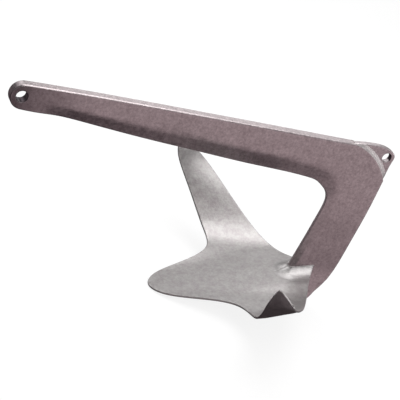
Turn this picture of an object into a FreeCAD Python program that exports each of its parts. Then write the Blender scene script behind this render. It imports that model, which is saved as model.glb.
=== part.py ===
import FreeCAD, Part
import os
import math
import Sketcher

# Claw anchor for a small cruising boat, about 7.5 kg, built up from a profiled shank,
# a dished three-palm claw, a tripping lug at the crown, a keel rib under the claw and
# the weld beads that join them.  Nothing on it moves.
#
# Working datum: the axis of the shackle eye.  +X runs along the shank to the crown,
# +Z up, and the object is symmetric about Y = 0.  Every piece is drawn from that datum
# and moved by its Placement, so that the origin of the finished part lies at the
# bottom centre of its box.

V = FreeCAD.Vector
doc = FreeCAD.newDocument("claw_anchor")

# ------------------------------------------------------------------ driving sizes
sheet = doc.addObject("Spreadsheet::Sheet", "sizes")
_row = [1]


def put(alias, value, note=""):
    r = _row[0]
    sheet.set("A%d" % r, alias)
    sheet.set("B%d" % r, "%.4f" % value)
    sheet.setAlias("B%d" % r, alias)
    if note:
        sheet.set("C%d" % r, note)
    _row[0] += 1


put("shank_thick", 14.3, "thickness of the shank between its side faces")
put("core_thick", 5.6, "thickness left along the bevelled inner edge")
put("cheek_thick", 4.35, "depth of each bevelled cheek, (shank_thick - core_thick) / 2")
put("nose_cx", 2.5, "centre of the rounded shackle end")
put("nose_cz", -0.7)
put("nose_rad", 17.1, "radius of the rounded shackle end")
put("eye_rad", 7.5, "shackle eye")
put("eye_rim", 0.6, "chamfer on both rims of the shackle eye")
put("crown_cx", 455.0, "centre of the arc that rounds the crown")
put("crown_cz", -90.0)
put("crown_rad", 105.5, "radius of that arc")
put("lug_thick", 8.5, "tripping lug")
put("lug_eye_x", 535.0)
put("lug_eye_rad", 6.8)
put("lug_rim", 0.4)
put("keel_thick", 12.0, "keel rib under the claw")
put("edge_thick", 3.4, "claw plate at its edges")
put("root_thick", 10.0, "claw plate under the shank")
put("palm_thick", 4.4, "claw plate in the side palms")
put("foot_leg", 20.0, "reach of the foot fillet from the shank side")
put("foot_rise", 8.6, "height of the foot fillet on the shank side")
put("bead_leg", 5.5, "leg of the keel beads")
put("lug_bead", 5.0, "reach of the lug beads over the lug")
put("shift_x", -266.5926, "working datum to box centre")
put("shift_z", 256.4030, "working datum to underside of the claw")

# outline points of the shank (x, z), named after where they are
SHANK = {
    "top": [(2.5, 16.4), (48.0, 17.1), (96.0, 17.3), (235.0, 16.3), (386.0, 14.6)],
    "outer": [(543.6, -90.0), (538.8, -149.0), (532.9, -196.5)],
    "heel": [(529.8, -208.7), (523.7, -222.1), (517.9, -232.5), (511.5, -245.5), (501.0, -251.0)],
    "jaw": [(484.0, -251.0), (484.0, -203.5)],
    "leg_low": [(460.2, -209.5)],
    "leg": [(463.4, -179.7), (465.9, -160.2), (469.3, -130.3), (471.9, -106.1)],
    "bend": [(473.0, -89.0), (471.7, -78.0), (466.2, -68.2), (455.5, -59.6), (444.5, -53.2)],
    "arm": [(430.0, -50.0), (336.0, -43.6), (258.5, -37.9), (184.0, -32.2), (112.0, -25.3), (62.0, -20.3)],
    "nose": [(44.0, -19.1), (27.0, -18.5), (2.5, -17.8)],
    "leg_low_face": [(462.4, -209.5)],
    "leg_face": [(465.5, -179.7), (468.2, -157.0), (471.6, -130.0), (474.4, -108.0)],
    "bend_face": [(478.2, -84.0), (481.6, -60.0), (473.6, -39.5), (444.5, -29.2)],
    "arm_face": [(403.2, -24.6), (323.9, -20.6), (247.5, -16.5), (174.6, -12.6), (104.4, -8.4), (66.0, -6.3)],
    "nose_face": [(38.0, -4.6), (27.0, -18.5)],
    "lug": [(487.0, 14.9), (509.0, 16.0), (526.9, 14.8), (537.5, 11.6), (545.2, 6.9), (547.2, 3.6), (546.7, -8.0), (546.0, -22.0)],
    "keel": [(452.0, -252.0), (400.0, -253.2), (345.0, -254.6), (306.0, -255.2), (292.0, -253.2)],
}
for name, pts in SHANK.items():
    for k, (a, b) in enumerate(pts):
        put("%s_%02d_x" % (name, k), a)
        put("%s_%02d_z" % (name, k), b)

# Claw stations, from the centre line out to the tip of a side palm: a point of the upper
# surface on the front edge and the matching one on the rear edge.  A straight line
# joins the two, as in a plate that is bent along lines fanning out from the front.
STATIONS = [
    ((260.2, 0.0, -253.1), (495.4, 0.0, -195.8)),
    ((261.5, 6.9, -252.8), (494.9, 5.9, -196.0)),
    ((265.2, 13.7, -251.9), (493.6, 11.6, -196.3)),
    ((273.0, 21.6, -250.0), (491.2, 18.4, -197.1)),
    ((293.4, 33.0, -244.8), (486.4, 28.2, -198.9)),
    ((322.0, 44.2, -237.2), (481.6, 37.8, -202.0)),
    ((346.7, 55.6, -230.3), (477.0, 48.7, -205.4)),
    ((361.0, 66.3, -226.3), (471.2, 60.3, -207.2)),
    ((368.3, 76.4, -224.1), (464.5, 71.6, -206.8)),
    ((371.5, 87.6, -222.1), (456.2, 83.9, -204.2)),
    ((371.0, 99.9, -218.5), (446.7, 96.8, -199.2)),
    ((366.7, 115.0, -210.8), (434.8, 112.2, -190.9)),
    ((359.0, 132.1, -196.9), (420.9, 129.9, -180.1)),
    ((348.8, 150.0, -179.2), (405.2, 150.3, -167.1)),
    ((337.8, 167.1, -161.2), (388.5, 171.9, -153.4)),
    ((329.7, 179.8, -146.0), (374.6, 188.3, -143.3)),
    ((326.3, 187.2, -132.6), (363.4, 197.9, -136.7)),
]
for k, (f, r) in enumerate(STATIONS):
    for tag, p in (("front", f), ("rear", r)):
        for ax, val in zip("xyz", p):
            put("claw_%s_%02d_%s" % (tag, k, ax), val)
# rounded end of a side palm, from its front edge over the tip to its rear edge
PALM_END = [(326.4, 191.4, -121.6), (326.3, 194.2, -114.6), (327.6, 197.3, -108.6), (334.5, 199.0, -112.2), (343.5, 199.6, -119.4), (350.5, 199.6, -125.3), (356.5, 199.2, -130.6)]
for k, p in enumerate(PALM_END):
    for ax, val in zip("xyz", p):
        put("palm_end_%02d_%s" % (k, ax), val)
doc.recompute()


def g(alias):
    return float(sheet.get(alias))


def pts(name):
    n = len(SHANK[name])
    return [(g("%s_%02d_x" % (name, k)), g("%s_%02d_z" % (name, k))) for k in range(n)]


SHIFT = V(g("shift_x"), 0, g("shift_z"))


def place(obj):
    """Moves a finished piece from the working datum to the part's own frame."""
    obj.Placement = FreeCAD.Placement(SHIFT, FreeCAD.Rotation())
    obj.setExpression("Placement.Base.x", "sizes.shift_x")
    obj.setExpression("Placement.Base.z", "sizes.shift_z")


def plane(body, role):
    return [o for o in body.Origin.OriginFeatures if o.Role == role][0]


def sketch(body, name, offset=0.0):
    """A sketch on the body's own XZ plane; its x is X and its y is Z.  offset moves it along -Y."""
    sk = body.newObject("Sketcher::SketchObject", name)
    sk.AttachmentSupport = [(plane(body, "XZ_Plane"), "")]
    sk.MapMode = "FlatFace"
    sk.AttachmentOffset = FreeCAD.Placement(V(0, 0, offset), FreeCAD.Rotation())
    return sk


def spline(points):
    c = Part.BSplineCurve()
    c.interpolate([V(a, b, 0) for a, b in points])
    return c


def seg(a, b):
    return Part.LineSegment(V(a[0], a[1], 0), V(b[0], b[1], 0))


def chain(sk, geometry):
    """Adds the curves of a closed outline and joins each to the next."""
    ids = [sk.addGeometry(c, False) for c in geometry]
    return ids


# ------------------------------------------------------------------ shank
# Outlines of the core and of a cheek.  They share every edge but those of the bevel
# along the inner side of the arm, the bend and the leg.
ccx, ccz, cr = g("crown_cx"), g("crown_cz"), g("crown_rad")
ncx, ncz, nr = g("nose_cx"), g("nose_cz"), g("nose_rad")


def on_crown(x):
    return (x, ccz + math.sqrt(cr * cr - (x - ccx) ** 2))


crown_start = on_crown(476.0)
crown_end = on_crown(545.2)
a_start = math.atan2(crown_start[1] - ccz, crown_start[0] - ccx)
a_end = math.atan2(crown_end[1] - ccz, crown_end[0] - ccx)


def crown_arc():
    m = 0.5 * (a_start + a_end)
    return Part.Arc(V(crown_start[0], crown_start[1], 0), V(ccx + cr * math.cos(m), ccz + cr * math.sin(m), 0), V(crown_end[0], crown_end[1], 0))


def outline(face):
    """The twelve curves round the shank: face False for the core, True for the outer face of a cheek."""
    top, outer, heel, jaw = pts("top"), pts("outer"), pts("heel"), pts("jaw")
    leg_low = pts("leg_low_face" if face else "leg_low")
    leg = pts("leg_face" if face else "leg")
    bend = pts("bend_face" if face else "bend")
    arm = pts("arm_face" if face else "arm")
    nose = pts("nose")
    start = pts("nose_face")[0] if face else nose[0]
    nose_lo = (ncx, ncz - nr)
    nose_hi = (ncx, ncz + nr)
    c = []
    c.append(spline([nose_hi] + top[1:] + [crown_start]))
    c.append(crown_arc())
    c.append(spline([crown_end] + outer + [heel[0]]))
    c.append(spline(heel))
    c.append(seg(heel[-1], jaw[0]))
    c.append(seg(jaw[0], jaw[1]))
    c.append(seg(jaw[1], leg_low[0]))
    c.append(spline([leg_low[0]] + leg + [bend[0]]))
    c.append(spline(bend))
    c.append(spline([bend[-1]] + arm + [start]))
    c.append(seg(start, nose[1]))
    c.append(seg(nose[1], nose_lo))
    c.append(Part.Arc(V(nose_lo[0], nose_lo[1], 0), V(ncx - nr, ncz, 0), V(nose_hi[0], nose_hi[1], 0)))
    return c


shank_body = doc.addObject("PartDesign::Body", "shank_body")
core = sketch(shank_body, "shank_core_outline")
chain(core, outline(False))
pad = shank_body.newObject("PartDesign::Pad", "shank_core")
pad.Profile = core
pad.Midplane = True
pad.setExpression("Length", "sizes.core_thick")
doc.recompute()

half_core = g("core_thick") / 2.0
half_full = g("shank_thick") / 2.0
inner_sk = sketch(shank_body, "cheek_inner_outline", half_core)
chain(inner_sk, outline(False))
inner_sk.setExpression("AttachmentOffset.Base.z", "sizes.core_thick / 2")
outer_sk = sketch(shank_body, "cheek_face_outline", half_full)
chain(outer_sk, outline(True))
outer_sk.setExpression("AttachmentOffset.Base.z", "sizes.shank_thick / 2")
cheek = shank_body.newObject("PartDesign::AdditiveLoft", "cheek")
cheek.Profile = inner_sk
cheek.Sections = [outer_sk]
cheek.Ruled = True
doc.recompute()
mirror = shank_body.newObject("PartDesign::Mirrored", "cheek_other_side")
mirror.Originals = [cheek]
mirror.MirrorPlane = (plane(shank_body, "XZ_Plane"), [""])
shank_body.Tip = mirror
doc.recompute()

eye_sk = sketch(shank_body, "shackle_eye_outline")
circle = eye_sk.addGeometry(Part.Circle(V(0, 0, 0), V(0, 0, 1), g("eye_rad")), False)
eye_sk.addConstraint(Sketcher.Constraint("Coincident", circle, 3, -1, 1))
n = eye_sk.addConstraint(Sketcher.Constraint("Radius", circle, g("eye_rad")))
eye_sk.setExpression("Constraints[%d]" % n, "sizes.eye_rad")
eye = shank_body.newObject("PartDesign::Pocket", "shackle_eye")
eye.Profile = eye_sk
eye.Type = "ThroughAll"
eye.Midplane = True
doc.recompute()


def rim_edges(shape, radius):
    names = []
    for k, e in enumerate(shape.Edges):
        if isinstance(e.Curve, Part.Circle) and abs(e.Curve.Radius - radius) < 1e-4 and len(e.Vertexes) == 1:
            names.append("Edge%d" % (k + 1))
    return names


rim = shank_body.newObject("PartDesign::Chamfer", "shackle_eye_rims")
rim.Base = (eye, rim_edges(eye.Shape, g("eye_rad")))
rim.setExpression("Size", "sizes.eye_rim")
shank_body.Tip = rim
doc.recompute()

# ------------------------------------------------------------------ claw
def station(k):
    f = V(*[g("claw_front_%02d_%s" % (k, ax)) for ax in "xyz"])
    r = V(*[g("claw_rear_%02d_%s" % (k, ax)) for ax in "xyz"])
    return f, r


COLS = [0.0, 0.06, 0.18, 0.5, 0.82, 0.94, 1.0]
FULL = [0.0, 0.55, 1.0, 1.0, 1.0, 0.55, 0.0]
half = []
for k in range(len(STATIONS)):
    f, r = station(k)
    half.append([f + (r - f) * c for c in COLS])
end = [V(*[g("palm_end_%02d_%s" % (k, ax)) for ax in "xyz"]) for k in range(len(PALM_END))]
half.append(end)


def flip(p):
    return V(p.x, -p.y, p.z)


top_grid = [[flip(p) for p in row] for row in reversed(half[1:])] + half
centre = len(half) - 1
edge_t, root_t, palm_t = g("edge_thick"), g("root_thick"), g("palm_thick")


def grid_normal(grid, i, j):
    a = grid[min(i + 1, len(grid) - 1)][j] - grid[max(i - 1, 0)][j]
    b = grid[i][-1] - grid[i][0]
    n = b.cross(a)
    n.normalize()
    return n if n.z > 0 else n * -1.0


bottom_grid = []
for i, row in enumerate(top_grid):
    out = []
    far = abs(i - centre)
    core_t = root_t if far <= 6 else (palm_t if far >= 11 else root_t + (palm_t - root_t) * (far - 6) / 5.0)
    if far >= len(half) - 2:
        core_t = edge_t + (palm_t - edge_t) * (0.6 if far == len(half) - 2 else 0.0)
    early = max(0.0, min(1.0, (7 - far) / 3.0))  # the root thickens more slowly behind the front edge
    full = [0.0, 0.55 - 0.37 * early, 1.0 - 0.12 * early] + FULL[3:]
    for j, p in enumerate(row):
        thick = edge_t + (core_t - edge_t) * full[j]
        if far <= 4 and j == 6:
            thick = root_t
        if far <= 4 and j == 5:
            thick = root_t
        out.append(p - grid_normal(top_grid, i, j) * thick)
    bottom_grid.append(out)


def surface(grid):
    s = Part.BSplineSurface()
    s.interpolate(grid)
    return s


def plate_solid(upper, lower):
    """A closed plate between two surfaces given as grids of points."""
    fu, fl = surface(upper).toShape(), surface(lower).toShape()
    su, sl = fu.Surface, fl.Surface
    u0, u1, v0, v1 = su.bounds()
    a0, a1, b0, b1 = sl.bounds()
    walls = []
    for cu, cl in ((su.uIso(u0), sl.uIso(a0)), (su.uIso(u1), sl.uIso(a1)), (su.vIso(v0), sl.vIso(b0)), (su.vIso(v1), sl.vIso(b1))):
        walls.append(Part.makeRuledSurface(cu.toShape(), cl.toShape()))
    shell = Part.Compound([fu, fl] + walls)
    shell.sewShape()
    shell = Part.makeShell(shell.Faces)
    shell.sewShape()
    solid = Part.makeSolid(shell)
    if solid.Volume < 0:
        solid.reverse()
    return solid


claw = doc.addObject("Part::Feature", "claw")
claw_shape = plate_solid(top_grid, bottom_grid)
claw.Shape = claw_shape
claw.Label = "claw"
print("claw", claw_shape.isValid(), round(claw_shape.Volume), claw_shape.BoundBox)


def plate_z(x, y):
    """Upper and lower z of the claw plate on the vertical line through x, y."""
    line = Part.makeLine(V(x, y, -400), V(x, y, 0))
    hit = line.common(claw_shape)
    zs = [v.Z for v in hit.Vertexes]
    return max(zs), min(zs)


# The shank straddles the rear of the claw: a slot in its foot takes the plate.
claw_tool = doc.addObject("Part::Feature", "claw_in_slot")
claw_tool.Shape = claw_shape
shank = doc.addObject("Part::Cut", "shank")
shank.Base = shank_body
shank.Tool = claw_tool
shank.Label = "shank"
doc.recompute()
print("shank", shank.Shape.isValid(), round(shank.Shape.Volume), len(shank.Shape.Solids), shank.Shape.BoundBox)

# ------------------------------------------------------------------ tripping lug
lug = doc.addObject("PartDesign::Body", "tripping_lug")
lug.Label = "tripping_lug"
lug_sk = sketch(lug, "lug_outline")
arc_back = crown_arc()
chain(lug_sk, [arc_back, spline([crown_start] + pts("lug") + [crown_end])])
lug_pad = lug.newObject("PartDesign::Pad", "lug_plate")
lug_pad.Profile = lug_sk
lug_pad.Midplane = True
lug_pad.setExpression("Length", "sizes.lug_thick")
doc.recompute()
lug_eye_sk = sketch(lug, "lug_eye_outline")
circle = lug_eye_sk.addGeometry(Part.Circle(V(g("lug_eye_x"), 0, 0), V(0, 0, 1), g("lug_eye_rad")), False)
n = lug_eye_sk.addConstraint(Sketcher.Constraint("Radius", circle, g("lug_eye_rad")))
lug_eye_sk.setExpression("Constraints[%d]" % n, "sizes.lug_eye_rad")
n = lug_eye_sk.addConstraint(Sketcher.Constraint("DistanceX", -1, 1, circle, 3, g("lug_eye_x")))
lug_eye_sk.setExpression("Constraints[%d]" % n, "sizes.lug_eye_x")
lug_eye_sk.addConstraint(Sketcher.Constraint("PointOnObject", circle, 3, -1))
lug_eye = lug.newObject("PartDesign::Pocket", "tripping_eye")
lug_eye.Profile = lug_eye_sk
lug_eye.Type = "ThroughAll"
lug_eye.Midplane = True
doc.recompute()
lug_rim = lug.newObject("PartDesign::Chamfer", "tripping_eye_rims")
lug_rim.Base = (lug_eye, rim_edges(lug_eye.Shape, g("lug_eye_rad")))
lug_rim.setExpression("Size", "sizes.lug_rim")
lug.Tip = lug_rim
doc.recompute()

# Beads that ramp from the side of the shank down to the thinner lug.
lug_face = Part.Face(Part.Wire([c.toShape() for c in (crown_arc(), spline([crown_start] + pts("lug") + [crown_end]))]))
lug_face.rotate(V(0, 0, 0), V(1, 0, 0), 90)
lug_block = lug_face.extrude(V(0, -40, 0))
lug_block.translate(V(0, 20, 0))
half_lug = g("lug_thick") / 2.0
reach = g("lug_bead")


def lug_bead(side):
    lo, hi = half_lug, half_full - 0.25
    c = []
    p0, p1, p2 = V(ccx + cr, lo, ccz), V(ccx + cr + reach, lo, ccz), V(ccx + cr, hi, ccz)
    dip = V(ccx + cr + reach * 0.36, lo + (hi - lo) * 0.36, ccz)
    wire = Part.Wire([Part.makeLine(p0, p1), Part.Arc(p1, dip, p2).toShape(), Part.makeLine(p2, p0)])
    face = Part.Face(wire)
    solid = face.revolve(V(ccx, 0, ccz), V(0, -1, 0), 100)
    solid = solid.common(lug_block)
    if side < 0:
        solid = solid.mirror(V(0, 0, 0), V(0, 1, 0))
    return solid


# ------------------------------------------------------------------ keel rib
keel_body = doc.addObject("PartDesign::Body", "keel_body")
keel_sk = sketch(keel_body, "keel_outline")
kp = pts("keel")
jaw = pts("jaw")
inside = []
for x in (484.0, 445.0, 400.0, 350.0, 312.0, 292.0):
    zt, zb = plate_z(x, 0.0)
    inside.append((x, zt - 0.5 * (zt - zb)))
low = spline([jaw[0]] + kp)
chain(keel_sk, [low, seg(kp[-1], inside[-1])] + [seg(inside[k], inside[k - 1]) for k in range(len(inside) - 1, 0, -1)] + [seg(inside[0], jaw[0])])
keel_pad = keel_body.newObject("PartDesign::Pad", "keel_plate")
keel_pad.Profile = keel_sk
keel_pad.Midplane = True
keel_pad.setExpression("Length", "sizes.keel_thick")
keel_body.Tip = keel_pad
doc.recompute()
keel_tool = doc.addObject("Part::Feature", "claw_over_keel")
keel_tool.Shape = claw_shape
keel = doc.addObject("Part::Cut", "keel_rib")
keel.Base = keel_body
keel.Tool = keel_tool
keel.Label = "keel_rib"
doc.recompute()
print("keel", keel.Shape.isValid(), round(keel.Shape.Volume), len(keel.Shape.Solids), keel.Shape.BoundBox)


# ------------------------------------------------------------------ weld beads
leg = g("foot_leg")
rise = g("foot_rise")
FOOT = [  # x, y on the shank and x, y at the toe of the fillet, and the share of its full height
    (497.4, 7.15, 485.8, 7.15 + leg, 1.0),
    (491.0, 7.15, 484.0, 7.15 + leg, 1.0),
    (484.0, 7.15, 479.5, 7.15 + leg, 1.0),
    (477.0, 7.15, 474.0, 7.15 + leg, 1.0),
    (470.5, 7.15, 468.0, 6.15 + leg, 0.98),
    (466.0, 7.15, 461.0, 22.6, 0.93),
    (464.0, 6.9, 455.6, 17.8, 0.86),
    (463.0, 5.6, 452.2, 12.6, 0.80),
    (462.4, 4.0, 450.4, 8.2, 0.76),
    (462.1, 2.0, 449.4, 4.0, 0.74),
    (462.0, 0.0, 449.0, 0.0, 0.73),
]
ACROSS = [0.0, 0.06, 0.15, 0.30, 0.50, 0.72, 0.88, 1.0]


def foot_fillet():
    """Concave fillet from the side of the shank to the claw, wrapped round the front of the foot."""
    upper, lower = [], []
    for x0, y0, x1, y1, share in FOOT:
        up, lo = [], []
        for c in [-0.08] + ACROSS:
            s = 1.0 if c < 0 else (1.0 - c) ** 1.5
            x, y = x0 + (x1 - x0) * c, y0 + (y1 - y0) * c
            t, b = plate_z(min(x, 496.2 - 0.42 * max(y, 0.0)) - 0.3, max(y, 0.0))
            level = t - 0.25 - 0.35 * max(c, 0.0) ** 2
            up.append(V(x, y, level + rise * share * s))
            lo.append(V(x, y, t - 0.45 * (t - b)))
        upper.append(up)
        lower.append(lo)
    return plate_solid(upper, lower)


fillet_raw = foot_fillet()
print("fillet raw", fillet_raw.isValid(), round(fillet_raw.Volume))
shank_local = shank.Shape.copy()
foot_half = fillet_raw.cut([claw_shape, shank_local])
print("foot half", foot_half.isValid(), round(foot_half.Volume), [round(s.Volume, 1) for s in foot_half.Solids])
foot_half = max(foot_half.Solids, key=lambda s: s.Volume)

bead = g("bead_leg")
kt = g("keel_thick") / 2.0


def keel_bead():
    wires = []
    for x, k in ((480.0, 1.0), (450.0, 1.0), (415.0, 1.0), (380.0, 1.0), (345.0, 0.9), (318.0, 0.6)):
        zt, zb = plate_z(x, kt)
        zo_t, zo_b = plate_z(x, kt + bead * k)
        a, b = V(x, kt, zb - bead * k), V(x, kt + bead * k, zo_b + 0.4)
        c = Part.BSplineCurve()
        c.interpolate([a, (a + b) * 0.5 + (V(x, kt, zb) - (a + b) * 0.5) * 0.25, b])
        p3, p4 = V(x, kt + bead * k, zo_b + 2.5), V(x, kt, zb + 2.5)
        wires.append(Part.Wire([c.toShape(), Part.makeLine(b, p3), Part.makeLine(p3, p4), Part.makeLine(p4, a)]))
    return Part.makeLoft(wires, True, True)


keel_raw = keel_bead()
keel_half = keel_raw.cut(claw_shape)
keel_half = max(keel_half.Solids, key=lambda s: s.Volume)


def mirrored(shape):
    return shape.mirror(V(0, 0, 0), V(0, 1, 0))


made = []
for label, shape in (
    ("foot_weld_port", foot_half),
    ("foot_weld_starboard", mirrored(foot_half)),
    ("keel_weld_port", keel_half),
    ("keel_weld_starboard", mirrored(keel_half)),
    ("lug_weld_port", lug_bead(1)),
    ("lug_weld_starboard", lug_bead(-1)),
):
    f = doc.addObject("Part::Feature", label)
    f.Shape = shape
    f.Label = label
    made.append(f)

pieces = [shank, claw, lug, keel] + made
for p in pieces:
    place(p)
doc.recompute()

# ------------------------------------------------------------------ checks and files
bad = []
for o in doc.Objects:
    if "Invalid" in o.State or "Error" in o.State:
        bad.append((o.Name, o.State))
for p in pieces:
    s = p.Shape
    if s.isNull() or not s.isValid() or not s.Solids or s.Volume <= 0:
        bad.append((p.Label, "shape"))
if bad:
    raise RuntimeError("pieces that failed: %s" % bad)

os.makedirs("parts", exist_ok=True)
whole = None
for p in pieces:
    p.Shape.exportStep("parts/%s.step" % p.Label)
    b = p.Shape.BoundBox
    print("%-22s solids %d  volume %9.1f  x %.2f..%.2f y %.2f..%.2f z %.2f..%.2f" % (p.Label, len(p.Shape.Solids), p.Shape.Volume, b.XMin, b.XMax, b.YMin, b.YMax, b.ZMin, b.ZMax))
    whole = b if whole is None else whole.united(b)
total = sum(p.Shape.Volume for p in pieces)
print("box x %.3f..%.3f y %.3f..%.3f z %.3f..%.3f" % (whole.XMin, whole.XMax, whole.YMin, whole.YMax, whole.ZMin, whole.ZMax))
print("mass in steel %.2f kg" % (total * 7.85e-6))
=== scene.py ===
import math

import bpy
import bmesh
import numpy as np
from mathutils import Matrix, Vector, noise
from mathutils.bvhtree import BVHTree
from mathutils.geometry import delaunay_2d_cdt


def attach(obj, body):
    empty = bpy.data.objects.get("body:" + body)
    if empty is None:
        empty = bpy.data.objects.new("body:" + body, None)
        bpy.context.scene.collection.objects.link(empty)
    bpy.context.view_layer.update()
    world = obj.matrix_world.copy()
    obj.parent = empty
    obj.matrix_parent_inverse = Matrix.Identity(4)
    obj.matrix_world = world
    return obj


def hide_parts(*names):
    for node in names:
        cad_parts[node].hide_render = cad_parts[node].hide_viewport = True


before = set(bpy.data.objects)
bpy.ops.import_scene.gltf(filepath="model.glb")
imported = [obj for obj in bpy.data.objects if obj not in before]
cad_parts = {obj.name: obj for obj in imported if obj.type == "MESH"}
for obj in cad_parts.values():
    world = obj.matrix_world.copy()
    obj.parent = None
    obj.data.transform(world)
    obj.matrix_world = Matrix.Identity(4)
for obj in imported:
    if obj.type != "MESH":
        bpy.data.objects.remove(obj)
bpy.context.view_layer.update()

# Millimetres from the shackle eye's axis, as the part is drawn, to metres in the part's frame.
DATUM = np.array([-266.5926, 0.0, 256.4030])


def metres(points):
    return (np.asarray(points, float) + DATUM) / 1000.0


def W(x, y, z):
    return Vector(metres([x, y, z]))


# ---------------------------------------------------------------- camera
az, el, roll = math.radians(29.8154), math.radians(26.0556), math.radians(22.2093)
look = Vector((math.sin(az) * math.cos(el), math.cos(az) * math.cos(el), -math.sin(el)))
right0 = Vector((math.cos(az), -math.sin(az), 0.0))
up0 = right0.cross(look)
right = right0 * math.cos(roll) + up0 * math.sin(roll)
up = -right0 * math.sin(roll) + up0 * math.cos(roll)
cam_data = bpy.data.cameras.new("camera")
cam = bpy.data.objects.new("camera", cam_data)
bpy.context.scene.collection.objects.link(cam)
cam_data.sensor_width = 36.0
cam_data.lens = 1303.19 * 36.0 / 400.0
cam_data.clip_start = 0.05
cam_data.clip_end = 60.0
cam_target = W(286.282, 0, -110.444)
cam.matrix_world = Matrix.Translation(cam_target - look * 1.74904) @ Matrix((right, up, -look)).transposed().to_4x4()
bpy.context.scene.camera = cam

# ---------------------------------------------------------------- outline of the shank
CROWN = (455.0, -90.0, 105.5)
NOSE = (2.5, -0.7, 17.1)
HALF = 7.15
CORE = 2.8
LUG_HALF = 4.25


def on_crown(x):
    return (x, CROWN[1] + math.sqrt(CROWN[2] ** 2 - (x - CROWN[0]) ** 2))


CROWN_START, CROWN_END = on_crown(476.0), on_crown(545.2)
OUTLINE = {
    "top": [(2.5, 16.4), (48.0, 17.1), (96.0, 17.3), (235.0, 16.3), (386.0, 14.6), CROWN_START],
    "outer": [CROWN_END, (543.6, -90.0), (538.8, -149.0), (532.9, -196.5), (529.8, -208.7)],
    "heel": [(529.8, -208.7), (523.7, -222.1), (517.9, -232.5), (511.5, -245.5), (501.0, -251.0)],
    "foot": [(501.0, -251.0), (484.0, -251.0)],
    "jaw": [(484.0, -251.0), (484.0, -203.5)],
    "step": [(484.0, -203.5), (460.2, -209.5)],
    "leg": [(460.2, -209.5), (463.4, -179.7), (465.9, -160.2), (469.3, -130.3), (471.9, -106.1), (473.0, -89.0), (471.7, -78.0), (466.2, -68.2), (455.5, -59.6), (444.5, -53.2),
            (430.0, -50.0), (336.0, -43.6), (258.5, -37.9), (184.0, -32.2), (112.0, -25.3), (62.0, -20.3), (44.0, -19.1), (27.0, -18.5), (2.5, -17.8)],
}
# crease of the bevel on a cheek, from the foot of the leg round the bend to the shackle end
CREASE = [(462.4, -209.5), (464.4, -201.0), (468.6, -190.0), (472.6, -176.0), (476.4, -157.0), (480.0, -130.0), (482.2, -108.0), (483.4, -84.0), (482.6, -64.0), (478.6, -46.0), (470.6, -37.2), (456.0, -32.0), (444.5, -30.2),
          (403.2, -24.6), (323.9, -20.6), (247.5, -16.5), (174.6, -12.6), (104.4, -8.4), (66.0, -6.3), (38.0, -4.6), (10.0, -3.6)]
LUG = [CROWN_START, (487.0, 14.9), (509.0, 16.0), (526.9, 14.8), (537.5, 11.6), (545.2, 6.9), (547.2, 3.6), (546.7, -8.0), (546.0, -22.0), CROWN_END]
KEEL = [(484.0, -251.0), (452.0, -252.0), (400.0, -253.2), (345.0, -254.6), (306.0, -255.2), (292.0, -253.2)]


def curve(points, step):
    """Smooth curve through the points (natural cubic over chord length), resampled about every step mm."""
    p = np.asarray(points, float)
    d = np.linalg.norm(np.diff(p, axis=0), axis=1)
    t = np.concatenate([[0.0], np.cumsum(d)])
    n = len(p)
    if n == 2:
        m = np.zeros_like(p)
    else:
        a = np.zeros((n, n))
        b = np.zeros_like(p)
        a[0, 0] = a[-1, -1] = 1.0
        for i in range(1, n - 1):
            a[i, i - 1], a[i, i], a[i, i + 1] = d[i - 1], 2 * (d[i - 1] + d[i]), d[i]
            b[i] = 6 * ((p[i + 1] - p[i]) / d[i] - (p[i] - p[i - 1]) / d[i - 1])
        m = np.linalg.solve(a, b)
    count = max(2, int(round(t[-1] / step)) + 1)
    fine = np.linspace(0, t[-1], count * 8)
    k = np.clip(np.searchsorted(t, fine, side="right") - 1, 0, n - 2)
    h = d[k][:, None]
    u = (fine - t[k])[:, None]
    w = h - u
    q = m[k] * w ** 3 / (6 * h) + m[k + 1] * u ** 3 / (6 * h) + (p[k] / h - m[k] * h / 6) * w + (p[k + 1] / h - m[k + 1] * h / 6) * u
    s = np.concatenate([[0.0], np.cumsum(np.linalg.norm(np.diff(q, axis=0), axis=1))])
    return np.stack([np.interp(np.linspace(0, s[-1], count), s, q[:, c]) for c in range(q.shape[1])], 1)


def arc(cx, cz, r, a0, a1, step):
    n = max(3, int(round(abs(a1 - a0) * r / step)) + 1)
    a = np.linspace(a0, a1, n)
    return np.stack([cx + r * np.cos(a), cz + r * np.sin(a)], 1)


def loop_of(parts):
    """Joins open runs into one closed loop, each given once."""
    out = []
    tags = []
    for tag, run in parts:
        for q in run[:-1]:
            out.append(q)
            tags.append(tag)
    return np.array(out), tags


def inward(loop):
    """Unit normals to the left of a closed loop that runs so that the metal lies on its left."""
    a = np.roll(loop, 1, axis=0)
    b = np.roll(loop, -1, axis=0)
    t1 = loop - a
    t2 = b - loop
    t1 /= np.linalg.norm(t1, axis=1)[:, None]
    t2 /= np.linalg.norm(t2, axis=1)[:, None]
    n1 = np.stack([-t1[:, 1], t1[:, 0]], 1)
    n2 = np.stack([-t2[:, 1], t2[:, 0]], 1)
    n = n1 + n2
    n /= np.linalg.norm(n, axis=1)[:, None]
    return n / np.clip((n * n1).sum(1), 0.6, 1.0)[:, None]


def nearest(points, line, closed=False):
    """Distance from each point to a polyline, and the fractional index of the nearest place on it."""
    a = line
    b = np.roll(line, -1, axis=0) if closed else line[1:]
    a = line if closed else line[:-1]
    ab = b - a
    ll = (ab ** 2).sum(1)
    best = np.full(len(points), 1e9)
    where = np.zeros(len(points))
    for s in range(0, len(points), 2000):
        p = points[s:s + 2000]
        ap = p[:, None, :] - a[None]
        u = np.clip((ap * ab[None]).sum(2) / ll[None], 0, 1)
        d = np.linalg.norm(ap - u[:, :, None] * ab[None], axis=2)
        k = d.argmin(1)
        r = np.arange(len(p))
        best[s:s + 2000] = d[r, k]
        where[s:s + 2000] = k + u[r, k]
    return best, where


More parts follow.
